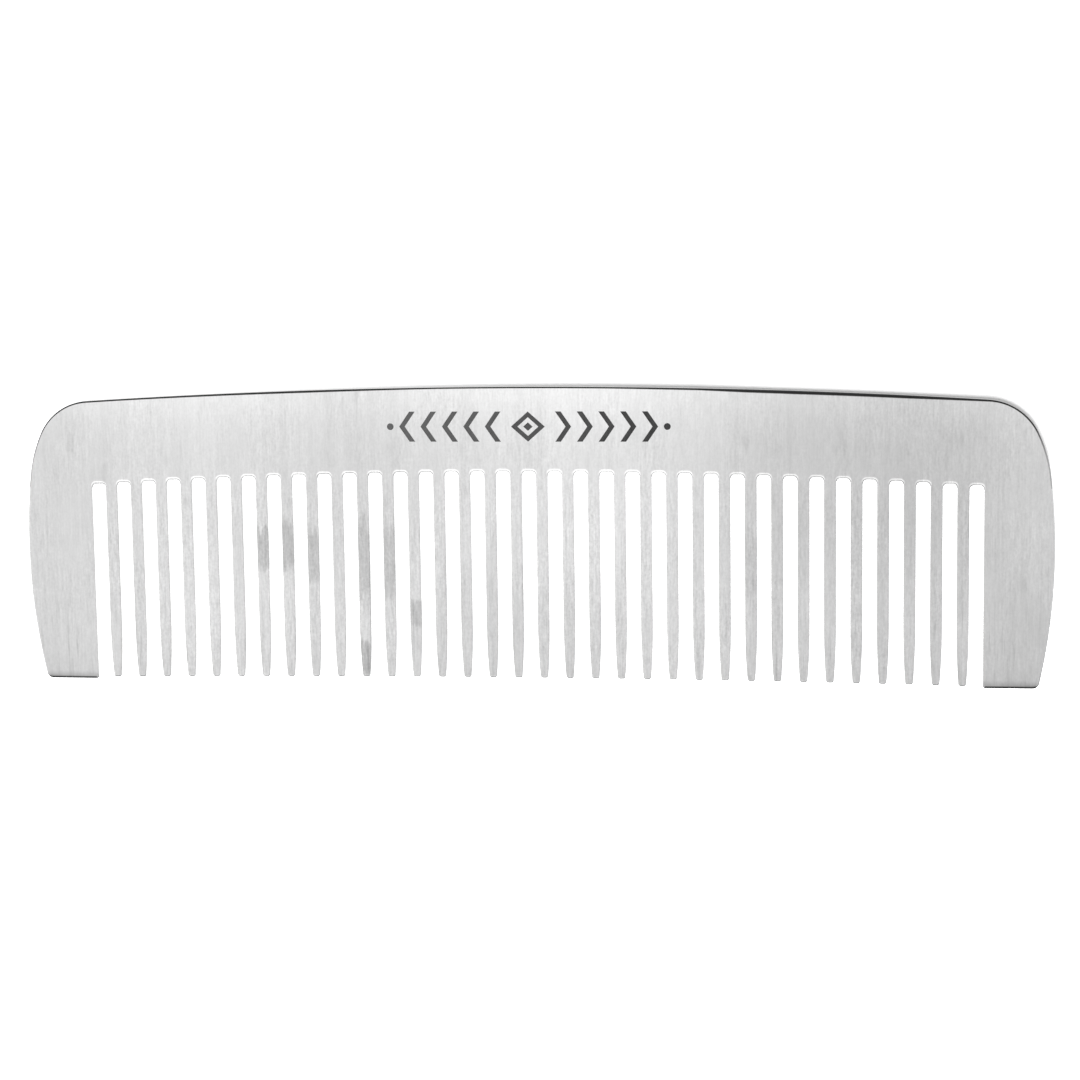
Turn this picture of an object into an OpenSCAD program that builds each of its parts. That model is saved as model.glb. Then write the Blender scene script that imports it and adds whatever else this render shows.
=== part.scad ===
// One-piece sheet-metal beard comb, lying flat on its back face.
// X runs along the comb, +Y points from the tooth tips to the spine, +Z is up
// through the sheet. The origin is the middle of the box's underside.
// The sheet is divided along its functional zones: a spine, an end guard at
// each side, and the teeth, which meet face to face at the roots.

/* [Sheet] */
// Length of the comb over its two bowed ends
comb_len = 110; // [106:0.5:120]
// Height from the guards' feet to the top of the crown
comb_h = 31.8; // [30:0.1:36]
// Thickness of the sheet
sheet_t = 1; // [0.8:0.1:1.5]

/* [Outline] */
// Radius of the shallow arc along the top of the spine
crown_r = 800; // [600:10:1200]
// Radius of the tight part of each top corner
corner_r = 6.1; // [4:0.1:8]
// Angle from straight up at which the tight corner ends
corner_turn = 64.5; // [50:0.5:70]
// Radius of the easier curve from the corner into the end
shoulder_r = 14.9; // [10:0.1:24]
// Angle from straight up at which the shoulder ends
shoulder_turn = 83.3; // [76:0.1:86]
// Radius of the bowed end
side_r = 66; // [50:1:90]
// Corner radius at the outside of each guard's foot
foot_outer_r = 0.7; // [0.3:0.1:1.5]
// Corner radius at the inside of each guard's foot
foot_inner_r = 0.3; // [0.1:0.1:0.5]

/* [Teeth] */
// Number of teeth between the two guards
tooth_count = 34; // [16:1:34]
// Distance from one tooth to the next
pitch = 2.76; // [2.4:0.01:2.9]
// Width of the gap between two teeth
slot_w = 1.48; // [1.2:0.02:1.6]
// Length of a tooth at the middle of the comb
tooth_len = 22.1; // [18:0.1:22.5]
// How far the middle tips stand back from the guards' feet
tip_setback = 0.6; // [0.4:0.1:1.5]
// Radius of the arc that the closed ends of the gaps follow
root_arc_r = 790; // [600:10:1200]
// Radius of the arc that the tips follow
tip_arc_r = 2700; // [2000:100:6000]
// Corner radius at the closed end of each gap
root_fillet = 0.4; // [0.1:0.1:0.5]
// Length over which a tooth narrows to its tip
taper_len = 6; // [3:0.5:8]
// Radius of the long curve that narrows each side of a tooth
taper_r = 76; // [70:1:120]
// Corner radius at the tip of a tooth
tip_r = 0.25; // [0.1:0.05:0.3]

/* [Etched ornament] */
// Height of the ornament
mark_h = 3.2; // [2:0.1:4]
// Height of the ornament's middle above the middle of the comb
mark_y = 11.7; // [10.5:0.1:12.2]
// Number of chevrons on each side of the centre lozenge
chevron_count = 5; // [2:1:6]
// Distance from one chevron to the next
chevron_pitch = 2.3; // [2:0.1:2.8]
// How far a chevron's point stands out from its ends
chevron_depth = 1.1; // [0.6:0.1:1.4]
// Width of the etched strokes, measured along the comb
stroke_w = 0.6; // [0.4:0.05:0.7]
// Half the width of the centre lozenge
lozenge_half_w = 1.8; // [1.5:0.1:2.2]
// Distance from the lozenge to the first chevron
lozenge_gap = 1.1; // [0.6:0.1:1.2]
// Depth of the etching
etch_depth = 0.15; // [0.1:0.05:0.3]
// Thickness of the dark layer on the floor of the etching
etch_fill_t = 0.1; // [0.05:0.05:0.1]

/* [Hidden] */
$fn = 32;

// Steps used to draw each kind of arc
CROWN_STEPS = 24;
CORNER_STEPS = 16;
SHOULDER_STEPS = 6;
SIDE_STEPS = 16;
TAPER_STEPS = 6;
SMALL_STEPS = 6;

STEEL = [0.82, 0.82, 0.82];
STEEL_SHADE = [0.75, 0.75, 0.76];
ETCHED = [0.27, 0.27, 0.27];

// Inner edge of the lozenge ring and its small core, as shares of the lozenge
RING_SHARE = 0.62;
CORE_SHARE = 0.28;

// Radius of an end dot as a share of the stroke
DOT_SHARE = 0.6;

// How far a cut runs past the face that it opens
OVERCUT = 1;

half_len = comb_len / 2;
crown_y = comb_h / 2;
foot_y = -comb_h / 2;
tooth_w = pitch - slot_w;
slot_count = tooth_count + 1;
// The outermost gaps end at the inner edges of the guards
guard_x = (slot_count - 1) / 2 * pitch + slot_w / 2;

function tooth_x(i) = (i - (tooth_count + 1) / 2) * pitch;
function slot_x(i) = (i - tooth_count / 2) * pitch;

// Height lost at x by an arc of radius r whose highest point is at x = 0
function arc_drop(r, x) = r - sqrt(r * r - x * x);

function tip_y(i) = foot_y + tip_setback - arc_drop(tip_arc_r, tooth_x(i));
function slot_top_y(i) = foot_y + tip_setback + tooth_len - arc_drop(root_arc_r, slot_x(i));

// A tooth meets the spine just below the fillets of the gaps beside it
function root_y(i) = min(slot_top_y(i - 1), slot_top_y(i)) - root_fillet;
guard_root_y = slot_top_y(0) - root_fillet;

// Points on an arc about c, with angles in degrees counted from +X
function arc(c, r, from, to, steps) =
    [for (k = [0 : steps]) let (a = from + (to - from) * k / steps) c + r * [cos(a), sin(a)]];

function flip_x(points) =
    [for (k = [len(points) - 1 : -1 : 0]) [-points[k][0], points[k][1]]];

// The outline is a chain of arcs that join without a corner. Each centre lies
// on the line through the last centre and the point where the two arcs meet,
// and the crown's sweep is the one that makes the comb comb_len long.
crown_turn = asin((half_len - side_r
    - (corner_r - shoulder_r) * sin(corner_turn)
    - (shoulder_r - side_r) * sin(shoulder_turn)) / (crown_r - corner_r));

function next_centre(c, r, r_next, turn) = c + (r - r_next) * [sin(turn), cos(turn)];

crown_c = [0, crown_y - crown_r];
corner_c = next_centre(crown_c, crown_r, corner_r, crown_turn);
shoulder_c = next_centre(corner_c, corner_r, shoulder_r, corner_turn);
side_c = next_centre(shoulder_c, shoulder_r, side_r, shoulder_turn);

// Angle on the bowed end at height y
function side_angle(y) = asin((y - side_c[1]) / side_r);

// Centre of a small arc of radius r that sits in the corner between a large arc
// and a straight end at height y
function end_corner(c, r_large, y, r) =
    [c[0] + sqrt(pow(r_large - r, 2) - pow(y + r - c[1], 2)), y + r];

// From the crown's middle round the right-hand corner and down to the guard
function upper_right() = concat(
    arc(crown_c, crown_r, 90, 90 - crown_turn, CROWN_STEPS),
    arc(corner_c, corner_r, 90 - crown_turn, 90 - corner_turn, CORNER_STEPS),
    arc(shoulder_c, shoulder_r, 90 - corner_turn, 90 - shoulder_turn, SHOULDER_STEPS),
    arc(side_c, side_r, 90 - shoulder_turn, side_angle(guard_root_y), SIDE_STEPS));

// Closed end of one gap, from its right-hand side over to its left-hand side
function slot_end(i) =
    let (x = slot_x(i), y = slot_top_y(i) - root_fillet, dx = slot_w / 2 - root_fillet)
    concat(
        arc([x + dx, y], root_fillet, 0, 90, SMALL_STEPS),
        arc([x - dx, y], root_fillet, 90, 180, SMALL_STEPS));

// Face of the spine that carries tooth i
function root_face(i) =
    [[tooth_x(i) + tooth_w / 2, root_y(i)], [tooth_x(i) - tooth_w / 2, root_y(i)]];

// Underside of the spine, from the right-hand guard to the left-hand one
function spine_underside() = [
    for (i = [tooth_count : -1 : 0])
    for (p = i > 0 ? concat(slot_end(i), root_face(i)) : slot_end(i)) p];

module extrude_sheet() {
    linear_extrude(height = sheet_t) children();
}

module spine_profile() {
    polygon(concat(upper_right(), spine_underside(), flip_x(upper_right())));
}

module guard_profile() {
    outer_c = end_corner(side_c, side_r, foot_y, foot_outer_r);
    outer_from = atan2(outer_c[1] - side_c[1], outer_c[0] - side_c[0]);
    inner_c = [guard_x + foot_inner_r, foot_y + foot_inner_r];
    polygon(concat(
        arc(side_c, side_r, side_angle(guard_root_y), outer_from, SIDE_STEPS),
        arc(outer_c, foot_outer_r, outer_from, -90, SMALL_STEPS),
        arc(inner_c, foot_inner_r, 270, 180, SMALL_STEPS),
        [[guard_x, guard_root_y]]));
}

// One tooth about x = 0: straight sides, then a long curve in to a blunt tip
module tooth_profile(root, tip) {
    taper_c = [tooth_w / 2 - taper_r, tip + taper_len];
    corner = end_corner(taper_c, taper_r, tip, tip_r);
    corner_from = atan2(corner[1] - taper_c[1], corner[0] - taper_c[0]);
    right = concat(
        [[tooth_w / 2, root]],
        arc(taper_c, taper_r, 0, corner_from, TAPER_STEPS),
        arc(corner, tip_r, corner_from, -90, SMALL_STEPS));
    polygon(concat(right, flip_x(right)));
}

module lozenge(half_w, half_h) {
    polygon([[half_w, 0], [0, half_h], [-half_w, 0], [0, -half_h]]);
}

module chevron() {
    h = mark_h / 2;
    polygon([[0, h], [stroke_w, h], [stroke_w + chevron_depth, 0],
        [stroke_w, -h], [0, -h], [chevron_depth, 0]]);
}

// A lozenge ring with a small lozenge in it, chevrons that point away from it
// on both sides, and a dot past the last chevron
module ornament_profile() {
    first_x = lozenge_half_w + lozenge_gap;
    dot_r = stroke_w * DOT_SHARE;
    dot_x = first_x + chevron_count * chevron_pitch + dot_r;
    difference() {
        lozenge(lozenge_half_w, mark_h / 2);
        lozenge(lozenge_half_w * RING_SHARE, mark_h / 2 * RING_SHARE);
    }
    lozenge(lozenge_half_w * CORE_SHARE, mark_h / 2 * CORE_SHARE);
    for (side = [0, 1]) mirror([side, 0, 0]) {
        for (k = [0 : chevron_count - 1]) translate([first_x + k * chevron_pitch, 0]) chevron();
        translate([dot_x, 0]) circle(r = dot_r);
    }
}

module spine() {
    color(STEEL) difference() {
        extrude_sheet() spine_profile();
        translate([0, mark_y, sheet_t - etch_depth])
            linear_extrude(height = etch_depth + OVERCUT) ornament_profile();
    }
}

module left_guard() {
    color(STEEL) mirror([1, 0, 0]) extrude_sheet() guard_profile();
}

module right_guard() {
    color(STEEL) extrude_sheet() guard_profile();
}

module tooth(i) {
    color(STEEL_SHADE) translate([tooth_x(i), 0, 0])
        extrude_sheet() tooth_profile(root_y(i), tip_y(i));
}

module etched_ornament() {
    color(ETCHED) translate([0, mark_y, sheet_t - etch_depth])
        linear_extrude(height = etch_fill_t) ornament_profile();
}

function tooth_name(i) = str("tooth_", i < 10 ? "0" : "", i);

spine();
left_guard();
right_guard();
for (i = [1 : tooth_count]) tooth(i);
etched_ornament();
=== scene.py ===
"""The looks of a one-piece steel beard comb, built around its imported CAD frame.

Each zone of the sheet (spine, guards, teeth) gets a plate with rounded edges that stands for its CAD node.
The etched ornament keeps its CAD node. X runs along the comb, +Y points from the tips to the crown, and +Z is
up through the sheet. Lengths are in metres unless a name or a comment says otherwise.
"""

import math
from collections import namedtuple

import bpy
from mathutils import Matrix, Vector, geometry


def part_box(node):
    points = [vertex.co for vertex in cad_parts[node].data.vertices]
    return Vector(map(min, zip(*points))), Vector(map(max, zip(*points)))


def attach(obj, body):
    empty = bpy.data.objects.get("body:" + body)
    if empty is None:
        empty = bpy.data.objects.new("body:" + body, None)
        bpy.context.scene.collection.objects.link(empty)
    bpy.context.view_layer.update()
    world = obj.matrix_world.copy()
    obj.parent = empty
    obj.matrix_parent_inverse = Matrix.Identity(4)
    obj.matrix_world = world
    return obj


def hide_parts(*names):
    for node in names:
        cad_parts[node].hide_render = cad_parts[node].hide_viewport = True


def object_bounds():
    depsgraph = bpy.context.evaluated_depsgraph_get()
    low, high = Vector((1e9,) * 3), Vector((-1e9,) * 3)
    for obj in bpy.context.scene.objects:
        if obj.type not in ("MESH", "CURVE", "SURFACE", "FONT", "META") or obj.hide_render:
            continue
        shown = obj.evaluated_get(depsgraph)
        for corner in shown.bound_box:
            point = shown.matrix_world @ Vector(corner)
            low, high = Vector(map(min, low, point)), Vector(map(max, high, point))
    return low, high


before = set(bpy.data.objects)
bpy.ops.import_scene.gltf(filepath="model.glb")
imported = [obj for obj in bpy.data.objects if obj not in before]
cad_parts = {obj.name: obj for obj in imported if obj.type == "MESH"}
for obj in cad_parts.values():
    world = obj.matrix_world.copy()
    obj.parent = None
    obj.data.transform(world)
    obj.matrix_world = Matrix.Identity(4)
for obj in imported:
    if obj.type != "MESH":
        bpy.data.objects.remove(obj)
CAD_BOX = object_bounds()

MM = 0.001
PLATE_NODES = sorted(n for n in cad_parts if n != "etched_ornament")
TOP_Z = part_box("spine")[1].z
ETCH_FLOOR_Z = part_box("etched_ornament")[0].z
GUARD_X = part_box("right_guard")[0].x
FOOT_Y = CAD_BOX[0].y

# ---------------------------------------------------------------- settings of the rounded edges

# Rounding of the front edge along the crown, as (millimetres from the middle, radius in millimetres)
CROWN_ROUNDING = [
    (-45, 0.18), (-38, 0.20), (-24, 0.25), (-18, 0.22), (-10, 0.16), (8, 0.17), (14, 0.21), (18, 0.22),
    (23, 0.36), (28, 0.39), (40, 0.36), (50, 0.19),
]
OUTER_SIDE_R = 0.20 * MM
GAP_SIDE_R = 0.11 * MM
GAP_END_R = 0.48 * MM
FOOT_R = 0.29 * MM
TIP_R = 0.22 * MM
BACK_R = 0.20 * MM
# An edge is rounded as a side up to this share of its normal along Y
SIDE_SHARE = 0.2
# Height above the feet within which the outline's small corners limit the rounding
LOW_ZONE = 3 * MM

# The rows of points over the front edge, by edge value: 1 on the wall, 0 where the face begins
FRONT_ROWS = [1.0, 0.83, 0.67, 0.50, 0.33, 0.17, 0.05, 0.0]
BACK_STEPS = 3
LONGEST_EDGE = 1.0 * MM
WELD = 1e-6
# Faces and edges whose normals have more than these shares along Z and Y look up and to the crown
UP_SHARE = 0.99
CROWN_SHARE = 0.5

# Painted shade and dark reflection on the edges, growing from the face to the wall: (darkness, edge value
# where it begins, where it is full)
CROWN_EDGE_SHADE = (1.0, 0.0, 0.17)
GAP_SIDE_EDGE_SHADE = (0.36, 0.15, 0.7)
GAP_END_EDGE_SHADE = (0.12, 0.4, 0.7)
TIP_EDGE_SHADE = (1.0, 0.05, 0.3)
GUARD_SIDE_EDGE_SHADE = (0.40, 0.4, 0.7)
FOOT_EDGE_SHADES = [(0.3, -0.1, 0.02), (0.7, 0.02, 0.10)]
# The share of its darkness that the crown loses again, given in the same way
CROWN_EDGE_SHADE_LOSS = (0.25, 0.5, 0.9)
# Painted shade on the back rounding, where the sheet meets the floor
BACK_SHADE = 0.30
# Painted shade on the edges at the tips, as (millimetres from the middle, darkness)
TIP_EDGE_SHADE_LEVELS = [(36, 0.5), (44, 0.65), (46, 0.85)]
# The painted shade at the foot of the wall, as a share of that at its top
WALL_FOOT_SHARE = 0.35
# The painted shade where the crown has turned into a side, as a share of the crown's
SHOULDER_SHARE = 0.4
# Shares of a normal along Y over which an edge comes to count as the crown, or as an end that faces down
TURN_UP = (0.1, 0.6)
TURN_DOWN = (0.5, 0.9)
# Y over which the painted shade on the left side grows upwards. On the right side it grows downwards in the
# same way.
SIDE_SHADING = (-2 * MM, 4 * MM)
# Width of the rounded corner inside each guard's foot, which stays free of the side's shading
INNER_CORNER = 0.5 * MM


# ---------------------------------------------------------------- outlines


def spot(point):
    """A place rounded to the weld distance, so that points that belong together share it as a key."""
    return (round(point[0] / WELD), round(point[1] / WELD))


def front_loops(node):
    """The outlines of a node's front face: counter-clockwise round metal, clockwise round an opening."""
    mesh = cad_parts[node].data
    places = {}
    after = {}
    for face in mesh.polygons:
        if face.normal.z < UP_SHARE or face.center.z < TOP_Z - WELD:
            continue
        corners = [mesh.vertices[i].co.xy.copy() for i in face.vertices]
        for a, b in zip(corners, corners[1:] + corners[:1]):
            places[spot(a)] = a
            if spot(a) in after.get(spot(b), set()):
                after[spot(b)].remove(spot(a))
            else:
                after.setdefault(spot(a), set()).add(spot(b))
    loops = []
    while any(after.values()):
        start = min(k for k, v in after.items() if v)
        loop = [start]
        while True:
            step = after[loop[-1]].pop()
            if step == start:
                break
            loop.append(step)
        loops.append([places[k] for k in loop])
    return loops


def signed_area(loop):
    return sum(a.cross(b) for a, b in zip(loop, loop[1:] + loop[:1])) / 2


def inside(point, loop):
    """Whether a point lies within a loop, by counting the edges to its right."""
    hit = False
    for a, b in zip(loop, loop[1:] + loop[:1]):
        if (a.y > point.y) != (b.y > point.y):
            if point.x < a.x + (point.y - a.y) / (b.y - a.y) * (b.x - a.x):
                hit = not hit
    return hit


def holder(loop, loops):
    """The smallest of the other loops that holds this one, or None."""
    around = [other for other in loops if other is not loop and inside(loop[0], other)]
    return min(around, key=lambda other: abs(signed_area(other)), default=None)


def top_edge(loop):
    """The two highest corners of a tooth's or guard's outline, where it grows out of the spine."""
    return sorted(loop, key=lambda p: p.y)[-2:]


SEAM_ENDS = {spot(p) for n in PLATE_NODES if n != "spine" for p in top_edge(front_loops(n)[0])}


def is_seam(a, b):
    """Whether an edge is where a tooth or guard grows out of the spine."""
    return spot(a) in SEAM_ENDS and spot(b) in SEAM_ENDS


def split_long_edges(loop):
    """Adds points along edges over LONGEST_EDGE, apart from seams."""
    out = []
    for a, b in zip(loop, loop[1:] + loop[:1]):
        out.append(a)
        count = 1 if is_seam(a, b) else math.ceil((b - a).length / LONGEST_EDGE)
        out.extend(a.lerp(b, k / count) for k in range(1, count))
    return out


# ---------------------------------------------------------------- edges: how round and how dark


def eased(value, low, high):
    """0 up to low, 1 from high, and a smooth rise between them."""
    share = min(1, max(0, (value - low) / (high - low)))
    return share * share * (3 - 2 * share)


def between(stops, at):
    """The level at a place, on straight lines between (place, level) stops."""
    if at <= stops[0][0]:
        return stops[0][1]
    for (low, level), (high, level_next) in zip(stops, stops[1:]):
        if at <= high:
            return level + (level_next - level) * (at - low) / (high - low)
    return stops[-1][1]


def in_gap(point, normal):
    """Whether the edge belongs to a gap between the guards, or to a tooth."""
    return abs(point.x) < GUARD_X - WELD and normal.y < CROWN_SHARE


def facing_down(normal):
    """How much the edge counts as an end that faces down: a foot, a tip or the closed end of a gap."""
    return eased(-normal.y, *TURN_DOWN)


def front_radius(point, normal):
    """Rounding of the front edge where it faces along normal. Small corners of the outline limit it."""
    is_low = point.y < FOOT_Y + LOW_ZONE
    side_r = OUTER_SIDE_R if abs(point.x) > GUARD_X + WELD else GAP_SIDE_R
    if normal.y > 0:
        facing_r = between(CROWN_ROUNDING, point.x / MM) * MM
    else:
        facing_r = FOOT_R if is_low else GAP_END_R
    turned = max(0, abs(normal.y) - SIDE_SHARE) / (1 - SIDE_SHARE)
    radius = side_r + (facing_r - side_r) * turned
    if is_low:
        return min(radius, TIP_R if abs(point.x) < GUARD_X - WELD else FOOT_R)
    return radius


def grown(cut, edge):
    """How dark one of the growing darknesses is at an edge value."""
    darkness, begins, full = cut
    return darkness * eased(edge, begins, full)


def painted_edge_shade(point, normal, edge):
    """How dark the painted shade and dark reflection on the edge are at an edge value.
    They are dark along the crown, the feet and the tips. They are faint at the closed ends of the gaps, along
    the teeth, and on the upper half of the comb's left side and the lower half of its right side."""
    if in_gap(point, normal):
        side = grown(GAP_SIDE_EDGE_SHADE, edge)
        if point.y < 0:
            end = between(TIP_EDGE_SHADE_LEVELS, abs(point.x) / MM) * grown(TIP_EDGE_SHADE, edge)
        else:
            end = grown(GAP_END_EDGE_SHADE, edge)
    elif normal.y > TURN_UP[0]:
        crown = SHOULDER_SHARE + (1 - SHOULDER_SHARE) * eased(normal.y, *TURN_UP)
        return crown * grown(CROWN_EDGE_SHADE, edge) * (1 - grown(CROWN_EDGE_SHADE_LOSS, edge))
    else:
        side = 0.0
        if abs(point.x) > GUARD_X + INNER_CORNER:
            shaded_way = -point.y if point.x > 0 else point.y
            side = grown(GUARD_SIDE_EDGE_SHADE, edge) * eased(shaded_way, *SIDE_SHADING)
        end = sum(grown(cut, edge) for cut in FOOT_EDGE_SHADES)
    return side + (end - side) * facing_down(normal)


def row_edge_shade(row, point, normal, edge):
    """The painted shade of one row of an edge's points, counted from the back.
    It fades down the wall. Where the edge faces down, it fades from the wall's top row on."""
    if row < BACK_STEPS:
        return BACK_SHADE
    darkness = painted_edge_shade(point, normal, edge)
    if row == BACK_STEPS:
        return 0.0 if in_gap(point, normal) else darkness * WALL_FOOT_SHARE
    if row == BACK_STEPS + 1:
        return darkness * (1 - (1 - WALL_FOOT_SHARE) * facing_down(normal))
    return darkness


def edge_profile(radius):
    """(inset, height, share of the normal that is level, edge value) up the wall and over the front edge."""
    rows = []
    for k in range(BACK_STEPS + 1):
        t = math.radians(90 * k / BACK_STEPS)
        rows.append((BACK_R * (1 - math.sin(t)), BACK_R * (1 - math.cos(t)), math.sin(t), 1.0))
    for edge in FRONT_ROWS:
        t = math.radians(90 * (1 - edge))
        rows.append((radius * (1 - math.cos(t)), TOP_Z - radius * (1 - math.sin(t)), math.cos(t), edge))
    return rows


# ---------------------------------------------------------------- rounded plates


RecessWall = namedtuple("RecessWall", "loop top floor")


class Plate:
    """Gathers a closed mesh whose corners each have their own exact normal.
    Each point also has an edge value and a cut value, the painted shade and dark reflection there, which the
    steel reads."""

    def __init__(self):
        self.points = []
        self.edge = []
        self.cut = []
        self.faces = []
        self.normals = []

    def add_point(self, xy, z, edge=0.0, cut=0.0):
        self.points.append((xy.x, xy.y, z))
        self.edge.append(edge)
        self.cut.append(cut)
        return len(self.points) - 1

    def add_face(self, corners, normals):
        self.faces.append(corners)
        self.normals.extend(normals)

    def make(self, name):
        mesh = bpy.data.meshes.new(name)
        mesh.from_pydata(self.points, [], self.faces)
        mesh.attributes.new("edge", "FLOAT", "POINT").data.foreach_set("value", self.edge)
        # The cut values hold the painted shade and dark reflection along the edges
        mesh.attributes.new("cut", "FLOAT", "POINT").data.foreach_set("value", self.cut)
        mesh.polygons.foreach_set("use_smooth", [True] * len(self.faces))
        mesh.normals_split_custom_set(self.normals)
        mesh.update()
        piece = bpy.data.objects.new(name, mesh)
        bpy.context.scene.collection.objects.link(piece)
        return piece


def outward(a, b):
    """The direction out of the metal across the edge from a to b."""
    along = (b - a).normalized()
    return Vector((along.y, -along.x))


def corner_moves(loop):
    """For each corner, its outward normal and how it moves when the free edges draw in by one unit.
    A corner at the end of a seam slides along the seam, so that neighbouring plates still meet."""
    moves = []
    for before, here, after in zip(loop[-1:] + loop[:-1], loop, loop[1:] + loop[:1]):
        n_before, n_after = outward(before, here), outward(here, after)
        if is_seam(before, here) or is_seam(here, after):
            free = n_after if is_seam(before, here) else n_before
            seam = (here - before if is_seam(before, here) else after - here).normalized()
            moves.append((free, -seam / seam.dot(free)))
        else:
            mean = (n_before + n_after).normalized()
            moves.append((mean, -mean / mean.dot(n_after)))
    return moves


def add_rim(plate, loop):
    """The wall and rounded edges along a loop. Returns the point numbers of its bottom and top rings."""
    rings = []
    slants = []
    for here, (normal, move) in zip(loop, corner_moves(loop)):
        ring, slant = [], []
        for row, (inset, z, level, edge) in enumerate(edge_profile(front_radius(here, normal))):
            ring.append(plate.add_point(here + move * inset, z, edge, row_edge_shade(row, here, normal, edge)))
            up = math.sqrt(max(0, 1 - level * level))
            slant.append((*(normal * level), up if row > BACK_STEPS else -up))
        rings.append(ring)
        slants.append(slant)
    count = len(loop)
    for i in range(count):
        j = (i + 1) % count
        a, b = rings[i], rings[j]
        if is_seam(loop[i], loop[j]):
            flat = (*outward(loop[i], loop[j]), 0)
            plate.add_face(a[::-1] + b, [flat] * (len(a) + len(b)))
            continue
        for k in range(len(a) - 1):
            normals = [slants[i][k], slants[j][k], slants[j][k + 1], slants[i][k + 1]]
            plate.add_face([a[k], b[k], b[k + 1], a[k + 1]], normals)
    return [ring[0] for ring in rings], [ring[-1] for ring in rings]


def fill(plate, rings, up):
    """Fills flat between an outer ring of points and any rings in it. up is 1 or -1, the way it faces."""
    outlines = [[Vector(plate.points[i]) for i in ring] for ring in rings]
    numbers = [i for ring in rings for i in ring]
    triangles = [[numbers[i] for i in triangle] for triangle in geometry.tessellate_polygon(outlines)]
    # The triangles all turn the same way round, so their whole area tells which way that is.
    area = sum(signed_area([Vector(plate.points[i]).xy for i in corners]) for corners in triangles)
    for corners in triangles:
        plate.add_face(corners if area * up > 0 else corners[::-1], [(0, 0, up)] * 3)


def add_recess_wall(plate, loop):
    """The upright wall of the etching along one loop, from the front face down to the etching's floor."""
    top = [plate.add_point(p, TOP_Z) for p in loop]
    floor = [plate.add_point(p, ETCH_FLOOR_Z, edge=1.0) for p in loop]
    count = len(loop)
    for i in range(count):
        j = (i + 1) % count
        flat = (*outward(loop[i], loop[j]), 0)
        plate.add_face([floor[i], floor[j], top[j], top[i]], [flat] * 4)
    return RecessWall(loop, top, floor)


def build_plate(node):
    """A plate with rounded edges on a node's outline, with the etching sunk into its front."""
    loops = front_loops(node)
    outline = max(loops, key=signed_area)
    marks = [loop for loop in loops if loop is not outline]
    plate = Plate()
    bottom, top = add_rim(plate, split_long_edges(outline))
    walls = [add_recess_wall(plate, loop) for loop in marks]
    openings = [w for w in walls if signed_area(w.loop) < 0]
    islands = [w for w in walls if signed_area(w.loop) > 0]
    fill(plate, [bottom], -1)
    fill(plate, [top] + [w.top for w in openings if holder(w.loop, marks) is None], 1)
    for island in islands:
        fill(plate, [island.top] + [w.top for w in openings if holder(w.loop, marks) is island.loop], 1)
    for opening in openings:
        fill(plate, [opening.floor] + [w.floor for w in islands if holder(w.loop, marks) is opening.loop], 1)
    return plate.make(node + "_plate")


# ---------------------------------------------------------------- materials


class Nodes:
    """Short calls for building a node tree."""

    def __init__(self, tree):
        self.tree = tree
        tree.nodes.clear()

    def add(self, kind, inputs=(), **settings):
        node = self.tree.nodes.new(kind)
        for key, value in settings.items():
            setattr(node, key, value)
        for key, value in dict(inputs).items():
            if isinstance(value, bpy.types.NodeSocket):
                self.tree.links.new(value, node.inputs[key])
            else:
                node.inputs[key].default_value = value
        return node

    def math(self, operation, a, b=0.0):
        return self.add("ShaderNodeMath", {0: a, 1: b}, operation=operation).outputs[0]

    def total(self, *values):
        result = values[0]
        for value in values[1:]:
            result = self.math("ADD", result, value)
        return result

    def product(self, *values):
        result = values[0]
        for value in values[1:]:
            result = self.math("MULTIPLY", result, value)
        return result

    def less(self, value, amount):
        return self.math("SUBTRACT", value, amount)

    def span(self, value, low, high, to_low=0.0, to_high=1.0):
        """value from low..high eased to to_low..to_high."""
        inputs = {0: value, 1: low, 2: high, 3: to_low, 4: to_high}
        return self.add("ShaderNodeMapRange", inputs, interpolation_type="SMOOTHSTEP").outputs[0]

    def noise(self, place, scale, detail, rough):
        """Noise with its own scale along X, Y and Z, in cycles per unit of place, from about 0 to 1."""
        sized = self.add("ShaderNodeVectorMath", {0: place, 1: scale}, operation="MULTIPLY").outputs[0]
        settings = {"Vector": sized, "Scale": 1.0, "Detail": detail, "Roughness": rough}
        return self.add("ShaderNodeTexNoise", settings).outputs["Fac"]

    def centred(self, value, amount):
        """value, which is about 0.5 on average, as a swing of that amount about 0."""
        return self.product(self.less(value, 0.5), amount)

    def ramp(self, value, stops):
        """A smooth curve that follows (position, level) pairs, with both of them from 0 to 1."""
        node = self.add("ShaderNodeValToRGB", {"Fac": value})
        node.color_ramp.interpolation = "B_SPLINE"
        elements = node.color_ramp.elements
        for place, level in stops:
            if 0 < place < 1:
                element = elements.new(place)
            else:
                element = elements[0 if place == 0 else len(elements) - 1]
            element.color = (level, level, level, 1)
        return node.outputs[0]

    def gray(self, level):
        return self.add("ShaderNodeCombineColor", {0: level, 1: level, 2: level}).outputs[0]

    def bump(self, height, strength, distance):
        inputs = {"Strength": strength, "Distance": distance, "Height": height}
        return self.add("ShaderNodeBump", inputs).outputs[0]

    def attribute(self, name):
        return self.add("ShaderNodeAttribute", attribute_name=name).outputs["Fac"]

    def place_mm(self):
        """The place on the comb in millimetres, then its X and its Y."""
        place = self.add("ShaderNodeTexCoord").outputs["Object"]
        mm = self.add("ShaderNodeVectorMath", {0: place, "Scale": 1 / MM}, operation="SCALE").outputs[0]
        parts = self.add("ShaderNodeSeparateXYZ", {0: mm})
        return mm, parts.outputs["X"], parts.outputs["Y"]

    def set_surface(self, inputs):
        shader = self.add("ShaderNodeBsdfPrincipled", inputs)
        self.add("ShaderNodeOutputMaterial", {"Surface": shader.outputs[0]})


def new_material(name):
    material = bpy.data.materials.new(name)
    material.use_nodes = True
    return material, Nodes(material.node_tree)


# Places on the comb in this section are in millimetres from its middle.

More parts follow.
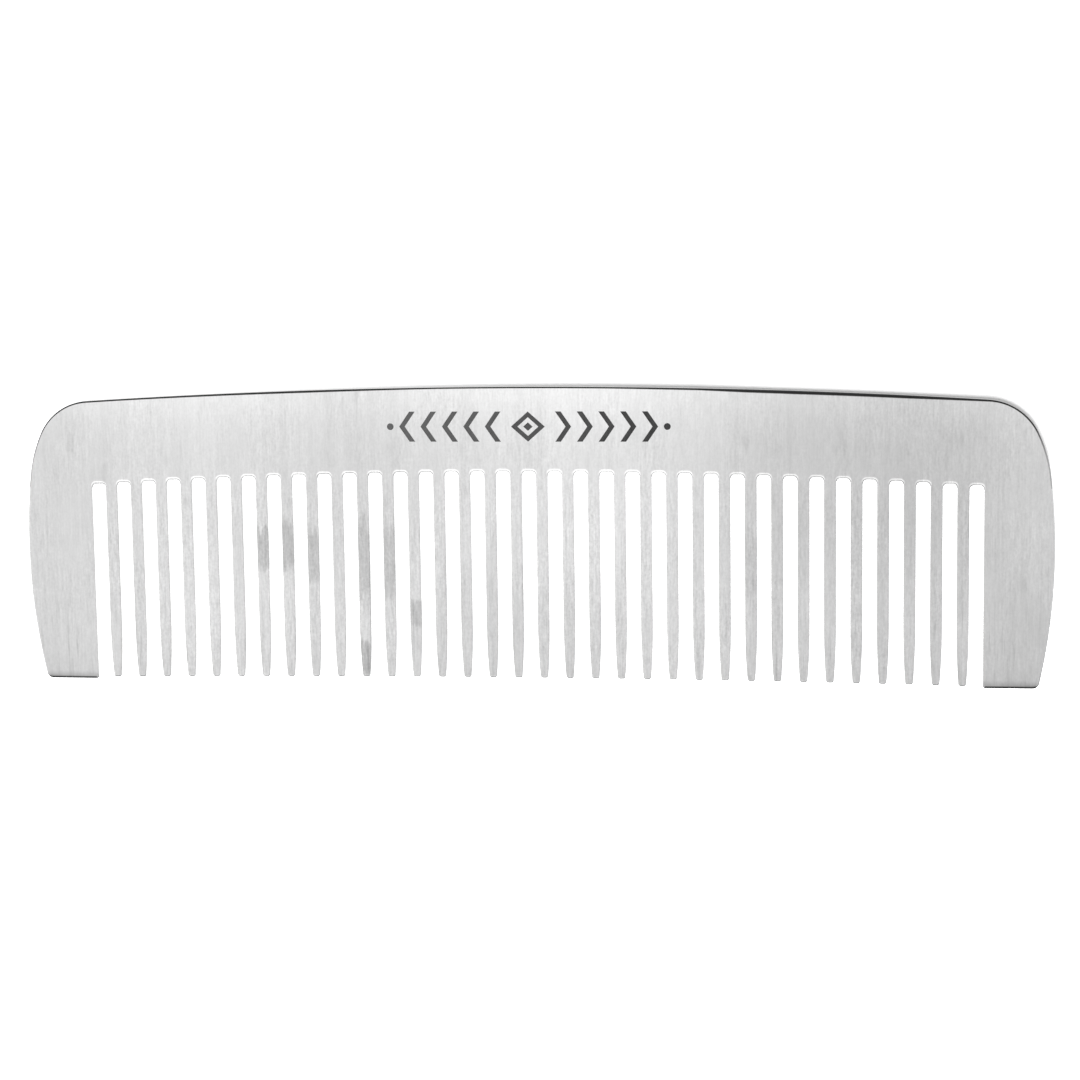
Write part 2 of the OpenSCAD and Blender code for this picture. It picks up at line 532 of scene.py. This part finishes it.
# Noises in the steel: cycles per millimetre along X, Y and Z, detail, and the roughness of that detail
SPECKS = ((4.0, 3.0, 4.0), 2.0, 0.55)
HAIRS = ((4.0, 0.7, 4.0), 3.0, 0.6)
LINES = ((4.0, 0.06, 4.0), 2.0, 0.5)
SWEEPS = ((0.9, 0.05, 0.9), 2.0, 0.5)
MOTTLE = ((0.35, 0.25, 0.35), 3.0, 0.55)
WEAR = ((0.25, 0.12, 0.25), 2.0, 0.5)
SCRATCHES = ((2.5, 0.10, 2.5), 3.0, 0.55)
SMUDGES = ((0.7, 0.16, 0.7), 2.0, 0.5)
FRAYS = ((3.0, 0.4, 3.0), 4.0, 0.65)
CUT_LINES = ((9.0, 9.0, 0.8), 2.0, 0.5)
# How far they swing the tone
SPECK_SWING = 0.20
HAIR_SWING = 0.31
LINE_SWING = 0.12
SWEEP_SWING = 0.12
MOTTLE_SWING = 0.12
CUT_LINE_SWING = 0.3
# Two levels of the noise of wear, and how strong the streaks are at each
WEAR_RANGE = (0.3, 0.7)
WEAR_LEVELS = (0.7, 1.3)
# How much stronger they are on the teeth, and the Y where that begins and is full
TEETH_GRAIN = 0.55
TEETH_Y = (7.5, 4.0)
# Where their noises make a scratch and a smudge, and how dark those are
SCRATCH_RANGE = (0.55, 0.72)
SCRATCH_DARKNESS = 0.16
SMUDGE_RANGE = (0.62, 0.76)
SMUDGE_DARKNESS = 0.08

STEEL_TONE = 0.74
# How much of the tone a full painted edge shade takes away, and how much any wall does
EDGE_SHADE_STRENGTH = 0.90
WALL_LOSS = 0.12
# The roughness of the plain face, what the noises and dull places add, and what polished edges lose
STEEL_ROUGHNESS = 0.34
HAIR_ROUGHNESS = 0.16
MOTTLE_ROUGHNESS = 0.10
DULL_ROUGHNESS = 0.4
EDGE_POLISH = 0.18
STEEL_ANISOTROPY = 0.55
# Strength and height of the relief
STEEL_BUMP = (0.35, 0.004 * MM)
# The edge values between which the edge becomes polished, and between which it becomes a cut wall
POLISH_EDGE = (0.0, 0.3)
WALL_EDGE = (0.8, 1.0)

# Painted bands of reflected light and shade along the comb, as (place, brightness)
REFLECTION_BANDS = [
    (-54, 0.90), (-44, 0.955), (-37, 0.985), (-30, 0.985), (-18, 0.89), (-5, 1.02), (7, 1.06),
    (14, 1.02), (20, 0.93), (26, 0.81), (33, 0.825), (40, 0.755), (46, 0.80), (54, 0.90),
]
# The same from the feet up to the crown
REFLECTION_RISE = [
    (-16, 0.86), (-15, 0.89), (-13, 0.94), (-6, 1.00), (2, 1.00), (9, 1.03), (12, 1.08), (14, 1.17),
    (16, 1.25),
]
# How the bands along the comb change towards the tips, and the Y where that change begins and is full
LOW_BANDS = [
    (-54, 1.0), (-44, 1.03), (-26, 1.03), (-20, 1.08), (-13, 1.06), (-8, 0.94), (0, 0.88), (8, 0.89),
    (13, 0.97), (18, 1.00), (25, 1.06), (33, 1.10), (40, 1.12), (46, 1.09), (50, 0.95), (54, 0.94),
]
LOW_Y = (2.0, -10.0)
# A shade at the guards' feet, and the Y where it begins and is full
FOOT_SHADE = 0.24
FOOT_SHADE_Y = (-14.9, -15.6)
# Dull worn spots on some teeth: (number of the tooth, middle's Y, half the height, darkness)
WORN_SPOTS = [
    (7, -1.4, 2.7, 0.22), (8, -1.0, 3.2, 0.22), (9, -2.0, 3.4, 0.16), (11, -2.7, 5.3, 0.18),
    (12, -2.6, 4.6, 0.16), (13, -8.4, 1.6, 0.20), (11, -13.2, 2.2, 0.24), (26, -3.0, 4.0, 0.10),
]
WORN_HALF_WIDTH = 1.3
# How far from a spot's middle it begins and is full, where 1 is its outline, and how far the frays shift that
WORN_FADE = (1.1, 0.3)
FRAY_SWING = 2.6


def banded(nodes, place, stops):
    """The level at a place, from (place, level) stops. The ramp holds shares of the highest level."""
    low, high = stops[0][0], stops[-1][0]
    peak = max(level for _, level in stops)
    position = nodes.math("DIVIDE", nodes.less(place, low), high - low)
    share = nodes.ramp(position, [((at - low) / (high - low), level / peak) for at, level in stops])
    return nodes.product(share, peak)


def worn_spots(nodes, x, y, frays):
    """How dark the worn spots are: 0 away from them, with outlines that the frays make ragged.
    The fourth power keeps a spot's sides straight along the tooth, and the square rounds its ends."""
    spots = []
    for tooth, middle_y, half_height, darkness in WORN_SPOTS:
        low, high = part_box(f"tooth_{tooth:02d}")
        middle_x = (low.x + high.x) / 2 / MM
        across = nodes.math("DIVIDE", nodes.less(x, middle_x), WORN_HALF_WIDTH)
        along = nodes.math("DIVIDE", nodes.less(y, middle_y), half_height)
        apart = nodes.total(nodes.math("POWER", across, 4.0), nodes.math("POWER", along, 2.0), frays)
        spots.append(nodes.span(apart, *WORN_FADE, 0.0, darkness))
    return nodes.total(*spots)


def painted_reflection_bands(nodes, x, y, low, on_guard):
    """Painted bands of reflected light and shade along and up the comb, with the painted shade at the guards'
    feet.
    """
    change = nodes.product(nodes.less(banded(nodes, x, LOW_BANDS), 1.0), low)
    foot_shade = nodes.product(on_guard, nodes.span(y, *FOOT_SHADE_Y, 0.0, FOOT_SHADE))
    lower = nodes.less(nodes.total(1.0, change), foot_shade)
    return nodes.product(banded(nodes, x, REFLECTION_BANDS), banded(nodes, y, REFLECTION_RISE), lower)


def steel_grain(nodes, mm, hairs, on_teeth):
    """The brushing's specks, hairs and long lines, stronger in some regions and on the teeth."""
    streaks = nodes.total(
        nodes.centred(nodes.noise(mm, *SPECKS), SPECK_SWING),
        nodes.centred(hairs, HAIR_SWING),
        nodes.centred(nodes.noise(mm, *LINES), LINE_SWING),
    )
    wear = nodes.span(nodes.noise(mm, *WEAR), *WEAR_RANGE, *WEAR_LEVELS)
    coarser = nodes.total(1.0, nodes.product(on_teeth, TEETH_GRAIN))
    return nodes.product(streaks, wear, coarser)


def steel_dullness(nodes, mm, x, y, low):
    """How dull the face is: worn spots, scratches on the lower teeth, and smudges."""
    frays = nodes.centred(nodes.noise(mm, *FRAYS), FRAY_SWING)
    scratches = nodes.span(nodes.noise(mm, *SCRATCHES), *SCRATCH_RANGE)
    smudges = nodes.span(nodes.noise(mm, *SMUDGES), *SMUDGE_RANGE)
    return nodes.total(
        worn_spots(nodes, x, y, frays),
        nodes.product(scratches, low, SCRATCH_DARKNESS),
        nodes.product(smudges, SMUDGE_DARKNESS),
    )


def brushed_steel():
    """Sheet steel brushed along the teeth: fine streaks, faint mottling, smudges and smoothed edges, with
    painted bands of reflection and painted shade along the edges.
    """
    material, nodes = new_material("brushed_steel")
    mm, x, y = nodes.place_mm()
    edge = nodes.attribute("edge")
    low = nodes.span(y, *LOW_Y)
    on_guard = nodes.math("GREATER_THAN", nodes.math("ABSOLUTE", x), GUARD_X / MM)
    on_teeth = nodes.product(nodes.less(1.0, on_guard), nodes.span(y, *TEETH_Y))

    hairs = nodes.noise(mm, *HAIRS)
    mottle = nodes.noise(mm, *MOTTLE)
    sweeps = nodes.centred(nodes.noise(mm, *SWEEPS), SWEEP_SWING)
    grain = steel_grain(nodes, mm, hairs, on_teeth)
    dull = steel_dullness(nodes, mm, x, y, low)
    face = nodes.less(nodes.total(1.0, grain, sweeps, nodes.centred(mottle, MOTTLE_SWING)), dull)

    # The cut wall is duller than the face and is lined through the thickness.
    cut_lines = nodes.noise(mm, *CUT_LINES)
    wall = nodes.span(edge, *WALL_EDGE)
    lined = nodes.less(nodes.centred(cut_lines, CUT_LINE_SWING), WALL_LOSS)
    cut = nodes.total(1.0, nodes.product(wall, lined))
    # Painted shade and dark reflection along the edges, read from the points' cut values
    edge_shaded = nodes.less(1.0, nodes.product(nodes.attribute("cut"), EDGE_SHADE_STRENGTH))
    tone = nodes.product(STEEL_TONE, painted_reflection_bands(nodes, x, y, low, on_guard), face, cut, edge_shaded)

    # The rounded edges are smoother than the face, and dull places are rougher.
    textured = nodes.total(
        STEEL_ROUGHNESS,
        nodes.centred(hairs, HAIR_ROUGHNESS),
        nodes.centred(mottle, MOTTLE_ROUGHNESS),
        nodes.product(dull, DULL_ROUGHNESS),
    )
    rough = nodes.less(textured, nodes.span(edge, *POLISH_EDGE, 0.0, EDGE_POLISH))
    relief = nodes.total(hairs, nodes.product(wall, cut_lines))
    across = nodes.add("ShaderNodeCombineXYZ", {0: 1.0, 1: 0.0, 2: 0.0}).outputs[0]
    nodes.set_surface({
        "Base Color": nodes.gray(tone), "Metallic": 1.0, "Roughness": rough,
        "Anisotropic": STEEL_ANISOTROPY, "Tangent": across, "Normal": nodes.bump(relief, *STEEL_BUMP),
    })
    return material


# Two places along the comb, and the tone of the etching's floor at each
ETCH_X = (-22.0, 20.0)
ETCH_TONES = (0.072, 0.018)
ETCH_BLOOM = ((1.6, 1.1, 1.6), 3.0, 0.6)
BLOOM_SWING = 0.03
ETCH_SPECKS = ((9.0, 5.0, 9.0), 3.0, 0.6)
ETCH_SPECK_SWING = 0.05
ETCH_ROUGHNESS = 0.72
ETCH_ROUGH_SWING = 0.25
ETCH_BUMP = (0.4, 0.01 * MM)


def etched_dark():
    """The matte dark floor of the etching, slightly uneven and paler to the left."""
    material, nodes = new_material("etched_dark")
    mm, x, _ = nodes.place_mm()
    specks = nodes.noise(mm, *ETCH_SPECKS)
    bloom = nodes.centred(nodes.noise(mm, *ETCH_BLOOM), BLOOM_SWING)
    tone = nodes.total(nodes.span(x, *ETCH_X, *ETCH_TONES), bloom, nodes.centred(specks, ETCH_SPECK_SWING))
    rough = nodes.total(ETCH_ROUGHNESS, nodes.centred(specks, ETCH_ROUGH_SWING))
    nodes.set_surface({
        "Base Color": nodes.gray(tone), "Roughness": rough, "Normal": nodes.bump(specks, *ETCH_BUMP),
    })
    return material


# ---------------------------------------------------------------- the comb


def build_comb():
    steel = brushed_steel()
    for node in PLATE_NODES:
        piece = build_plate(node)
        piece.data.materials.append(steel)
        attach(piece, "root")
        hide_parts(node)
    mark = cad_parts["etched_ornament"]
    mark.data.materials.clear()
    mark.data.materials.append(etched_dark())


# ---------------------------------------------------------------- floor

FLOOR_SIZE = 4.0
FLOOR_GAP = 0.04 * MM
FLOOR_TONE = 0.8
FLOOR_ROUGHNESS = 0.9
# The paper between the teeth reaches under the spine and a little past the feet
PAPER_GAP = 0.02 * MM
PAPER_UNDER_SPINE = 2 * MM
PAPER_PAST_FEET = 0.1 * MM
# The floor glows with painted light, like paper over a light table, which washes out the comb's shadows. The
# glow grows towards the feet and to the left, which leaves a soft dim zone behind the crown's right half.
GLOW = 0.9
LEAST_GLOW = 0.1
# The Y and the X where the glow begins to grow and where it is full
GLOW_Y = (9 * MM, 5 * MM)
GLOW_X = (20 * MM, -55 * MM)


def add_rectangle(name, low, high, z, material):
    mesh = bpy.data.meshes.new(name)
    corners = [(low[0], low[1], z), (high[0], low[1], z), (high[0], high[1], z), (low[0], high[1], z)]
    mesh.from_pydata(corners, [], [(0, 1, 2, 3)])
    mesh.materials.append(material)
    piece = bpy.data.objects.new(name, mesh)
    bpy.context.scene.collection.objects.link(piece)
    return piece


def pale_floor():
    material, nodes = new_material("pale_floor")
    coordinates = nodes.add("ShaderNodeTexCoord").outputs["Object"]
    parts = nodes.add("ShaderNodeSeparateXYZ", {0: coordinates})
    in_front = nodes.span(parts.outputs["Y"], *GLOW_Y)
    to_left = nodes.span(parts.outputs["X"], *GLOW_X)
    share = nodes.math("MAXIMUM", in_front, to_left)
    glow = nodes.total(LEAST_GLOW, nodes.product(share, GLOW - LEAST_GLOW))
    nodes.set_surface({
        "Base Color": (FLOOR_TONE, FLOOR_TONE, FLOOR_TONE, 1), "Roughness": FLOOR_ROUGHNESS,
        "Emission Color": (1, 1, 1, 1), "Emission Strength": glow,
    })
    return material


def add_floor():
    """A wide floor that stays out of the steel's reflections, and paper between the teeth that is in them."""
    material = pale_floor()
    half = FLOOR_SIZE / 2
    floor = add_rectangle("floor", (-half, -half), (half, half), -FLOOR_GAP, material)
    floor.visible_glossy = False
    paper_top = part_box("spine")[0].y + PAPER_UNDER_SPINE
    add_rectangle("paper", (-GUARD_X, FOOT_Y - PAPER_PAST_FEET), (GUARD_X, paper_top), -PAPER_GAP, material)


# ---------------------------------------------------------------- light

# Zones of the dome: the values of one part of a unit direction where each begins and where it is full
BEHIND_Y = (0.10, 0.35)
BEHIND_X = (0.99, 0.90)
LOW_FRONT_Y = (-0.20, -0.50)
LOW_FRONT_Z = (0.45, 0.25)
FRONT_Y = (-0.25, -0.55)
BESIDE_X = (0.25, 0.80)
RIGHT_X = (-0.5, 0.5)
# How much brighter or darker the zones are
FRONT_GAIN = 0.6
SIDE_GAIN = 0.22
DIM_SHARE = 0.6
RIGHT_LEVEL = 0.86

KEY_FROM = Vector((0.0, -0.30, 0.95))
KEY_DISTANCE = 0.8
KEY_SIZE = 0.36
KEY_POWER = 6.0


def add_dome():
    """A pale studio all round, brighter in front and beside, darker behind the crown and low in front."""
    world = bpy.data.worlds.new("studio")
    bpy.context.scene.world = world
    world.use_nodes = True
    nodes = Nodes(world.node_tree)
    direction = nodes.add("ShaderNodeTexCoord").outputs["Generated"]
    parts = nodes.add("ShaderNodeSeparateXYZ", {0: direction})
    x, y, z = (parts.outputs[k] for k in "XYZ")
    sideways = nodes.math("ABSOLUTE", x)
    behind = nodes.product(nodes.span(y, *BEHIND_Y), nodes.span(sideways, *BEHIND_X))
    low_front = nodes.product(nodes.span(y, *LOW_FRONT_Y), nodes.span(z, *LOW_FRONT_Z))
    dimmed = nodes.less(1.0, nodes.product(nodes.math("MAXIMUM", behind, low_front), DIM_SHARE))
    front = nodes.span(y, *FRONT_Y, 0.0, FRONT_GAIN)
    beside = nodes.span(sideways, *BESIDE_X, 0.0, SIDE_GAIN)
    softboxes = nodes.total(1.0, nodes.math("MAXIMUM", front, beside))
    to_right = nodes.span(x, *RIGHT_X, 1.0, RIGHT_LEVEL)
    colour = nodes.gray(nodes.product(to_right, softboxes, dimmed))
    background = nodes.add("ShaderNodeBackground", {"Color": colour, "Strength": 1.0})
    nodes.add("ShaderNodeOutputWorld", {"Surface": background.outputs[0]})


def add_key():
    """A softbox almost overhead. It lights the floor and is kept out of the steel's reflections."""
    light = bpy.data.lights.new("key", "AREA")
    light.energy = KEY_POWER
    light.size = KEY_SIZE
    key = bpy.data.objects.new("key", light)
    bpy.context.scene.collection.objects.link(key)
    key.location = KEY_FROM.normalized() * KEY_DISTANCE
    key.rotation_mode = "QUATERNION"
    key.rotation_quaternion = (-KEY_FROM).to_track_quat("-Z", "Y")
    key.visible_glossy = False


# ---------------------------------------------------------------- camera

CAMERA_LENS = 93.8
# Where the camera stands and what it looks at, from the middle of the comb's front face
CAMERA_OVER_FACE = Vector((40.42, 41.66, 293.03)) * MM
AIM_ON_FACE = Vector((1.12, -0.39, 0)) * MM
CAMERA_ROLL = math.radians(-0.81)


def add_camera():
    data = bpy.data.cameras.new("camera")
    data.lens = CAMERA_LENS
    data.clip_start = 0.01
    data.clip_end = 20
    camera = bpy.data.objects.new("camera", data)
    bpy.context.scene.collection.objects.link(camera)
    forward = (AIM_ON_FACE - CAMERA_OVER_FACE).normalized()
    level = forward.cross(Vector((0, 1, 0))).normalized()
    upright = level.cross(forward)
    right = level * math.cos(CAMERA_ROLL) + upright * math.sin(CAMERA_ROLL)
    up = right.cross(forward)
    matrix = Matrix((right, up, -forward)).transposed().to_4x4()
    matrix.translation = CAMERA_OVER_FACE + Vector((0, 0, TOP_Z))
    camera.matrix_world = matrix
    bpy.context.scene.camera = camera


def set_view():
    view = bpy.context.scene.view_settings
    view.view_transform = "Standard"
    view.look = "None"


build_comb()
add_floor()
add_dome()
add_key()
add_camera()
set_view()
